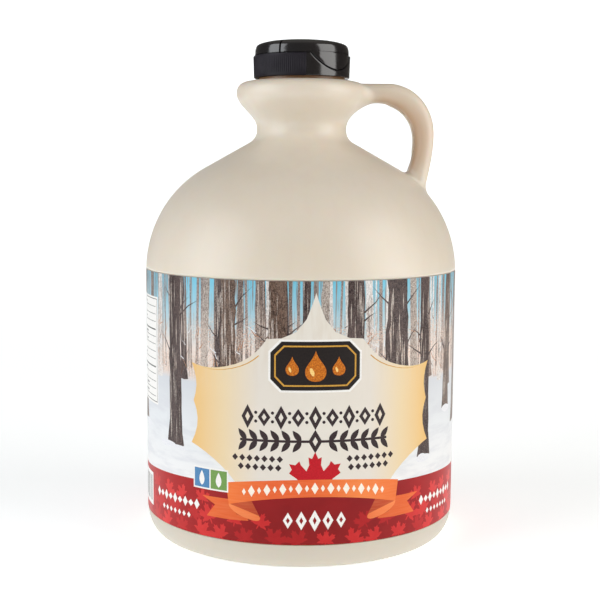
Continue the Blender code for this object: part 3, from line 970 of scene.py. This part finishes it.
class Handle:
    """The handle as a bent bar of rounded oblong section."""

    def __init__(self):
        self.outer, self.inner = handle_edges()
        self.outline = np.vstack([self.inner, self.outer[::-1], self.inner[:1]])

    def section(self):
        """(side, shift, y) places round the section: side is -1 at the inner edge and 1 at the outer one."""
        flat = HANDLE_HALF_DEPTH - HANDLE_CORNER
        flats = [0.1 * flat, 0.35 * flat, 0.6 * flat, 0.82 * flat, flat]
        beside = flats[::-1] + [SEAM_HALF, 0.0, -SEAM_HALF] + [-b for b in flats]
        corner = []
        for turn in np.radians(np.arange(10, 90, 10)):
            corner.append((HANDLE_CORNER * (1 - math.cos(turn)), -flat - HANDLE_CORNER * math.sin(turn)))
        corner.append((HANDLE_CORNER, -HANDLE_HALF_DEPTH))
        half = [(1.0, 0.0, y) for y in beside]
        half += [(1.0, -shift, y) for shift, y in corner]
        half += [(-1.0, shift, y) for shift, y in corner[::-1]]
        return half + [(-side, -shift, -y) for side, shift, y in half]

    def solid(self):
        """(points, faces) of the whole bar, closed at both ends."""
        places = self.section()
        points = []
        for outer, inner in zip(self.outer, self.inner):
            middle = (outer + inner) / 2
            half = np.linalg.norm(outer - inner) / 2
            across = (outer - inner) / (2 * half)
            for side, shift, y in places:
                x, z = middle + across * (half * side + shift)
                points.append((x, y, z))
        count = len(places)
        faces = ring_faces(len(self.outer), count)
        faces.append(tuple(range(count))[::-1])
        faces.append(tuple(range(len(points) - count, len(points))))
        return points, faces

    def seam_rise(self, points):
        """Height of the parting line: a thin fin inside the handle's bend, and a low ridge elsewhere."""
        x, z = points[:, 0], points[:, 2]
        around = np.hypot(x - HANDLE_GAP_X, z - HANDLE_GAP_Z)
        fin = (1 - smoothstep(17.0, 18.8, around)) * smoothstep(34.5, 38.5, x) * smoothstep(159.0, 164.0, z)
        return SEAM_RISE + (FIN_RISE - SEAM_RISE) * fin

    def distance(self, points):
        """(distance, slope) of points from the bar's surface, with the parting line's ridge on it."""
        level = points[:, (0, 2)]
        plane, turn = line_distance(self.outline, level)
        wrong = ((plane < 0) != inside_outline(self.outline, level)) & (np.abs(plane) > 0.3)
        plane = np.where(wrong, -plane, plane)
        turn = np.where(wrong[:, None], -turn, turn)
        y = points[:, 1]
        a = plane + HANDLE_CORNER
        b = np.abs(y) - (HANDLE_HALF_DEPTH - HANDLE_CORNER)
        over_a, over_b = np.maximum(a, 0), np.maximum(b, 0)
        length = np.hypot(over_a, over_b)
        inside = (a <= 0) & (b <= 0)
        share_a = np.where(inside, (a >= b) * 1.0, over_a / np.maximum(length, 1e-9))
        share_b = np.where(inside, (a < b) * 1.0, over_b / np.maximum(length, 1e-9))
        slope = np.column_stack([turn[:, 0] * share_a, np.sign(y) * share_b, turn[:, 1] * share_a])
        value = length + np.minimum(np.maximum(a, b), 0) - HANDLE_CORNER
        return value - self.seam_rise(points) * np.clip(1 - np.abs(y) / SEAM_HALF, 0, 1), slope


def body_distance(line, points):
    """(distance, slope) of points from the turned body."""
    around = np.maximum(np.hypot(points[:, 0], points[:, 1]), 1e-9)
    value, turn = line_distance(line, np.column_stack([around, points[:, 2]]))
    out = points[:, :2] / around[:, None]
    return value, np.column_stack([out * turn[:, :1], turn[:, 1]])


def blended(line, handle, points):
    """(distance, slope) of body and handle run together. The fillet is widest under the collar, and
    fades out above the handle."""
    body, body_slope = body_distance(line, points)
    bar, bar_slope = handle.distance(points)
    z = points[:, 2]
    wide = FILLET_LOW + FILLET_MORE * smoothstep(160, 176, z)
    wide = wide * (1 - smoothstep(186.5, 191.2, z)) + FILLET_LEAST
    short_body, short_bar = np.maximum(wide - body, 0), np.maximum(wide - bar, 0)
    near = np.hypot(short_body, short_bar)
    least = np.minimum(body, bar)
    share_body = short_body / np.maximum(near, 1e-9) + (least > wide) * (body <= bar)
    share_bar = short_bar / np.maximum(near, 1e-9) + (least > wide) * (body > bar)
    slope = body_slope * share_body[:, None] + bar_slope * share_bar[:, None]
    return np.maximum(wide, least) - near, slope


def soften_joints(jug, profile, handle):
    """Moves the jug's points near the handle's roots onto the filleted surface, and shades them by it."""
    mesh = jug.data
    line = np.array(profile)
    count = len(mesh.vertices)
    points = np.empty(count * 3)
    mesh.vertices.foreach_get("co", points)
    points = points.reshape(-1, 3) / MM
    chosen = np.nonzero((points[:, 0] > 12) & (np.abs(points[:, 1]) < 20) & (points[:, 2] > 130))[0]
    body = body_distance(line, points[chosen])[0]
    bar = handle.distance(points[chosen])[0]
    close = (body < JOINT_REACH) & (bar < JOINT_REACH) & (points[chosen, 2] < PLATFORM_Z - 0.02)
    joint = chosen[close]
    whole = chosen[close | (np.abs(bar) < FIN_RISE + 0.1)]
    moving = np.zeros(count, bool)
    moving[joint] = True
    edges = np.empty(len(mesh.edges) * 2, int)
    mesh.edges.foreach_get("vertices", edges)
    edges = edges.reshape(-1, 2)
    edges = edges[moving[edges].any(1)]

    def settle(rows, steps):
        for _ in range(steps):
            value, slope = blended(line, handle, points[rows])
            length = np.maximum((slope * slope).sum(-1), 0.3)
            points[rows] -= np.clip(value / length, -0.8, 0.8)[:, None] * slope

    def unit_slope():
        slope = blended(line, handle, points[joint])[1]
        return slope / (np.linalg.norm(slope, axis=1)[:, None] + 1e-9)

    settle(whole, 6)
    for _ in range(RELAX_ROUNDS):
        total = np.zeros_like(points)
        number = np.zeros(count)
        for a, b in ((0, 1), (1, 0)):
            np.add.at(total, edges[:, a], points[edges[:, b]])
            np.add.at(number, edges[:, a], 1)
        move = total[joint] / np.maximum(number[joint], 1)[:, None] - points[joint]
        slope = unit_slope()
        points[joint] += 0.5 * (move - (move * slope).sum(-1)[:, None] * slope)
        settle(joint, 1)
    settle(joint, 3)
    mesh.vertices.foreach_set("co", (points * MM).ravel())
    mesh.update()
    mesh.shade_smooth()
    mesh.set_sharp_from_angle(angle=math.radians(50))
    lookup = dict(zip(joint.tolist(), unit_slope().tolist()))
    normals = [tuple(c.vector) for c in mesh.corner_normals]
    for loop in mesh.loops:
        normals[loop.index] = lookup.get(loop.vertex_index, normals[loop.index])
    mesh.normals_split_custom_set(normals)


def make_jug(paint):
    """The turned body and the handle's bar joined, with soft fillets between them."""
    profile = jug_profile()
    handle = Handle()
    body = mesh_object("jug_moulded", *turned(profile), [paint])
    bar = mesh_object("handle_cutter", *handle.solid(), [paint])
    for piece in (body, bar):
        builder = bmesh.new()
        builder.from_mesh(piece.data)
        bmesh.ops.remove_doubles(builder, verts=builder.verts, dist=1e-6)
        bmesh.ops.recalc_face_normals(builder, faces=builder.faces)
        builder.to_mesh(piece.data)
        builder.free()
    union = body.modifiers.new("handle", "BOOLEAN")
    union.operation = "UNION"
    union.object = bar
    union.solver = "EXACT"
    joined = bpy.data.meshes.new_from_object(body.evaluated_get(bpy.context.evaluated_depsgraph_get()))
    body.modifiers.clear()
    body.data = joined
    bpy.data.objects.remove(bar, do_unlink=True)
    builder = bmesh.new()
    builder.from_mesh(joined)
    upper = [vert for vert in builder.verts if vert.co.z > DOME_START * MM]
    bmesh.ops.remove_doubles(builder, verts=upper, dist=0.00012)
    bmesh.ops.triangulate(builder, faces=[f for f in builder.faces if len(f.verts) > 4])
    builder.to_mesh(joined)
    builder.free()
    soften_joints(body, profile, handle)
    return body


# Cap

def recess_floor(azimuth):
    """Height of the thumb recess's floor, up to the skirt's top beside it."""
    share = np.clip((azimuth - RECESS_FROM) / (RECESS_TO - RECESS_FROM), 0.0, 1.0)
    return SKIRT_HIGH - RECESS_DEEP * float(np.sin(math.pi * share)) ** 0.8


def tab_floor(azimuth):
    """The tab's lower edge, an even gap away from the recess, also where that is steep."""
    step = 0.2
    rise = recess_floor(azimuth + step) - recess_floor(azimuth - step)
    slope = rise / (math.radians(2 * step) * SKIRT_HIGH_R)
    return recess_floor(azimuth) + TAB_GAP * math.sqrt(1 + min(slope * slope, 12.0))


def rib(azimuth):
    """How far the skirt dips between its ribs."""
    if PLAIN_FROM <= azimuth % 360 <= PLAIN_TO:
        return 0.0
    share = ((azimuth - PLAIN_TO) % 360) / (360 - (PLAIN_TO - PLAIN_FROM))
    wave = 0.5 - 0.5 * math.cos(2 * math.pi * RIB_COUNT * share)
    return RIB_DEEP * (1 - wave ** 1.6)


def loft(name, azimuths, column, paints, second_paint):
    """A closed solid from a column of (radius, height) points for each azimuth, poles at both ends.
    second_paint(azimuth) says where the second of the paints goes."""
    columns = [column(a) for a in azimuths]
    points = [(0.0, 0.0, columns[0][0][1])]
    for azimuth, places in zip(azimuths, columns):
        points += [around_z(math.radians(azimuth), r, z) for r, z in places[1:-1]]
    points.append((0.0, 0.0, columns[0][-1][1]))
    last = len(points) - 1
    inner = len(columns[0]) - 2
    faces, indices = [], []
    for i, azimuth in enumerate(azimuths):
        a, b = 1 + i * inner, 1 + (i + 1) % len(azimuths) * inner
        indices += [int(second_paint(azimuth))] * (inner + 1)
        faces.append((0, b, a))
        faces += [(a + k, b + k, b + k + 1, a + k + 1) for k in range(inner - 1)]
        faces.append((a + inner - 1, b + inner - 1, last))
    made = mesh_object(name, points, faces, paints, indices)
    made.data.set_sharp_from_angle(angle=math.radians(38))
    return made


def make_cap_base(paints):
    """The ribbed skirt, smooth beside and in the thumb recess, with a bore over the finish."""
    plain = list(np.linspace(PLAIN_FROM, PLAIN_TO, 91))
    ribbed = list(np.linspace(PLAIN_TO, PLAIN_FROM + 360, RIB_COUNT * 6 + 1))[1:-1]

    def wall(z):
        return SKIRT_LOW_R + (SKIRT_HIGH_R - SKIRT_LOW_R) * (z - SKIRT_LOW) / (SKIRT_HIGH - SKIRT_LOW)

    def column(azimuth):
        top = recess_floor(azimuth % 360)
        bore, roof, edge = FINISH_R + CAP_GAP, FINISH_TOP + CAP_GAP, wall(SKIRT_LOW)
        places = [(0.0, roof), (bore, roof), (bore, SKIRT_LOW), (edge - 0.3, SKIRT_LOW),
                  (edge - 0.06, SKIRT_LOW + 0.1), (edge, SKIRT_LOW + 0.3), (edge, SKIRT_LOW + 0.75)]
        for share in (0.0, 0.05, 0.5, 0.95, 1.0):
            z = SKIRT_LOW + 1.0 + (top - SKIRT_LOW - 1.7) * share
            places.append((wall(z) - (rib(azimuth) if 0 < share < 1 else 0.0), z))
        return places + [(wall(top) - 0.02, top - 0.35), (wall(top) - 0.12, top - 0.1),
                         (wall(top) - 0.35, top), (RECESS_WALL, top),
                         (RECESS_WALL - 0.05, SKIRT_HIGH + 0.01), (0.0, SKIRT_HIGH + 0.01)]

    return loft("cap_skirt_ribbed", np.array(plain + ribbed), column, paints,
                lambda azimuth: not PLAIN_FROM <= azimuth % 360 < PLAIN_TO)


def make_cap_lid(paint):
    """The lid, with a thumb tab hanging into the recess under a fine groove, and two slits in its side."""
    low = SKIRT_HIGH + SEAM_GAP
    tab_from, tab_to = RECESS_FROM + 0.8, RECESS_TO - 0.8
    turns = set(np.round(np.linspace(0, 360, 288, endpoint=False), 3))
    for slit in SLITS:
        turns = {a for a in turns if abs(a - slit) > SLIT_HALF + 0.6}
        turns |= {slit - SLIT_HALF - 0.12, slit - SLIT_HALF, slit, slit + SLIT_HALF, slit + SLIT_HALF + 0.12}
    for edge in (tab_from, tab_to):
        turns |= {edge - 0.1, edge + 0.1, edge + 0.5, edge - 0.5}

    def column(azimuth):
        floor, flare, groove = low, 0.0, 0.0
        if tab_from < azimuth < tab_to:
            floor = min(low, tab_floor(azimuth))
            flare = TAB_FLARE * min(1.0, (low - floor) / 3.0)
            groove = TAB_GROOVE
        cut = SLIT_DEEP if any(abs(azimuth - slit) <= SLIT_HALF + 0.01 for slit in SLITS) else 0.0
        inner = RECESS_WALL + 0.35
        tip = LID_R + flare
        places = [(0.0, low), (inner - 0.5, low), (inner, low - 0.01), (inner, floor), (tip - 0.25, floor),
                  (tip - 0.06, floor + 0.08), (tip, floor + 0.25),
                  (LID_R + flare * 0.8, max(floor + 0.3, low - (low - floor) * 0.5)),
                  (LID_R + flare * 0.6, low + 0.1), (LID_R - groove, low + 0.16),
                  (LID_R - groove, low + 0.6), (LID_R - 0.02, low + 0.66), (LID_R - 0.08, 204.6),
                  (LID_R - 0.36, 206.0)]
        curve_on(places, (LID_R - 0.6, 206.9), (LID_R - 1.5, 207.6), (LID_R - 3.9, 208.1), 10)
        places += [(15.4, 208.3), (13.2, 208.6)]
        places = [(r - cut, z) if r > 14.0 + cut else (r, z) for r, z in places]
        return places + [(11.5, 208.82), (8.0, 209.0), (4.0, 209.15), (0.0, LID_TOP)]

    return loft("cap_lid_domed", np.array(sorted(turns)), column, [paint], lambda azimuth: False)


def make_hinge(paint):
    """The strap that joins lid and skirt at the back, thin at its crease."""
    crease = SKIRT_HIGH
    rows = [(20.5, -3.6), (21.1, -3.3), (21.3, -2.6), (21.35, -0.8), (21.1, 0.0), (20.95, 0.2), (21.1, 0.4),
            (21.35, 1.1), (21.2, 2.1), (20.9, 2.6), (20.0, 2.7), (19.2, 1.8), (19.4, 0.55), (20.75, 0.4),
            (20.75, 0.0), (20.2, -0.3), (20.0, -3.2)]
    points = []
    for turn in np.radians(HINGE_AZ - np.linspace(-HINGE_HALF, HINGE_HALF, 15)):
        points += [around_z(turn, r, crease + z) for r, z in rows]
    count = len(rows)
    faces = ring_faces(15, count)
    faces.append(tuple(range(count))[::-1])
    faces.append(tuple(range(len(points) - count, len(points))))
    made = mesh_object("cap_hinge_strap", points, faces, [paint])
    made.data.set_sharp_from_angle(angle=math.radians(30))
    return made


# Scene

def make_camera():
    data = bpy.data.cameras.new("camera")
    data.sensor_width = SENSOR
    data.lens = FOCAL_PIXELS / FRAME_PIXELS * SENSOR
    data.clip_start = 0.02
    camera = bpy.data.objects.new("camera", data)
    bpy.context.collection.objects.link(camera)
    forward = Vector((0.0, math.cos(CAMERA_PITCH), -math.sin(CAMERA_PITCH)))
    right = Vector((1.0, 0.0, 0.0))
    up = right.cross(forward)
    turned_right = right * math.cos(CAMERA_ROLL) + up * math.sin(CAMERA_ROLL)
    turned_up = up * math.cos(CAMERA_ROLL) - right * math.sin(CAMERA_ROLL)
    half_pixel = 0.5 / FOCAL_PIXELS
    forward = (forward - turned_right * half_pixel + turned_up * half_pixel).normalized()
    turned_right = (turned_right - forward * turned_right.dot(forward)).normalized()
    turned_up = turned_right.cross(forward)
    turn = Matrix((turned_right, turned_up, -forward)).transposed()
    camera.matrix_world = Matrix.Translation((0.0, CAMERA_Y, CAMERA_Z)) @ turn.to_4x4()
    bpy.context.scene.camera = camera


def soft_box(name, side, colour):
    """A large light in front of the jug, at its left or right."""
    data = bpy.data.lights.new(name, "AREA")
    data.shape = "RECTANGLE"
    data.size, data.size_y = BOX_SIZE
    data.energy = BOX_POWER
    data.color = colour
    made = bpy.data.objects.new(name, data)
    bpy.context.collection.objects.link(made)
    made.location = (side * BOX_AWAY * math.sin(BOX_AZ), -BOX_AWAY * math.cos(BOX_AZ), BOX_HEIGHT)
    made.rotation_euler = (Vector(BOX_AIM) - made.location).to_track_quat("-Z", "Y").to_euler()


def make_world():
    """A dim room, brighter above and in front of the jug than behind it, and warmer at the right."""
    world = bpy.data.worlds.new("studio")
    world.use_nodes = True
    background = world.node_tree.nodes["Background"]
    x, y, z = coordinates(world.node_tree, "Generated").axes()
    put(background.inputs[0], x.span(-0.5, 0.8).mix(ROOM_LEFT, ROOM_RIGHT))
    walls = y.span(-0.9, 0.6, ROOM_FRONT, ROOM_BACK)
    above = z.span(0.6, 0.95)
    put(background.inputs[1], above * ROOM_TOP + (above * -1.0 + 1.0) * walls)
    bpy.context.scene.world = world


def make_floor():
    """White paper that runs from the floor up into a backdrop, and glows a little to stay white."""
    paint, own, shader = new_material("floor_paper", (0.92, 0.92, 0.92), 0.9)
    grain = own.noise((1.0, 1.0, 1.0), 90.0, 3.0)
    put(shader.inputs["Base Color"], grain.mix((0.91, 0.91, 0.91), (0.93, 0.93, 0.93)))
    put(shader.inputs["Emission Color"], (0.93, 0.98, 1.0))
    put(shader.inputs["Emission Strength"], own.axes()[1].span(0.15, 1.0, FLOOR_GLOW, FAR_GLOW))
    rows = [(FLOOR_FRONT, 0.0), (FLOOR_BACK, 0.0)] + arc((FLOOR_BACK, FLOOR_BEND), FLOOR_BEND, -90, 0, 12)
    rows.append((FLOOR_BACK + FLOOR_BEND, BACKDROP_TOP))
    points = [(x, y, z) for y, z in rows for x in (-FLOOR_HALF, FLOOR_HALF)]
    faces = [(2 * i, 2 * i + 1, 2 * i + 3, 2 * i + 2) for i in range(len(rows) - 1)]
    mesh_object("floor", points, faces, [paint])


def main():
    bpy.context.scene.view_settings.view_transform = "Standard"
    make_camera()
    make_world()
    make_floor()
    soft_box("left_box", -1, (0.94, 0.97, 1.0))
    soft_box("right_box", 1, (1.0, 0.99, 0.97))
    make_inks()
    plastic = jug_plastic()
    jug = make_jug(plastic)
    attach(jug, "root")
    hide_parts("jug")
    label = make_label()
    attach(label, "root")
    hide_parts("label")
    gloss = cap_plastic("cap_lid_plastic", srgb(8, 6, 10), 0.14, 0.85)
    matte = cap_plastic("cap_rib_plastic", srgb(28, 25, 32), 0.5, 0.2)
    base = make_cap_base([gloss, matte])
    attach(base, "root")
    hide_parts("cap_base")
    lid = make_cap_lid(gloss)
    hinge = make_hinge(gloss)
    for piece in (lid, hinge):
        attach(piece, "root")
        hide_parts("cap_lid")


main()
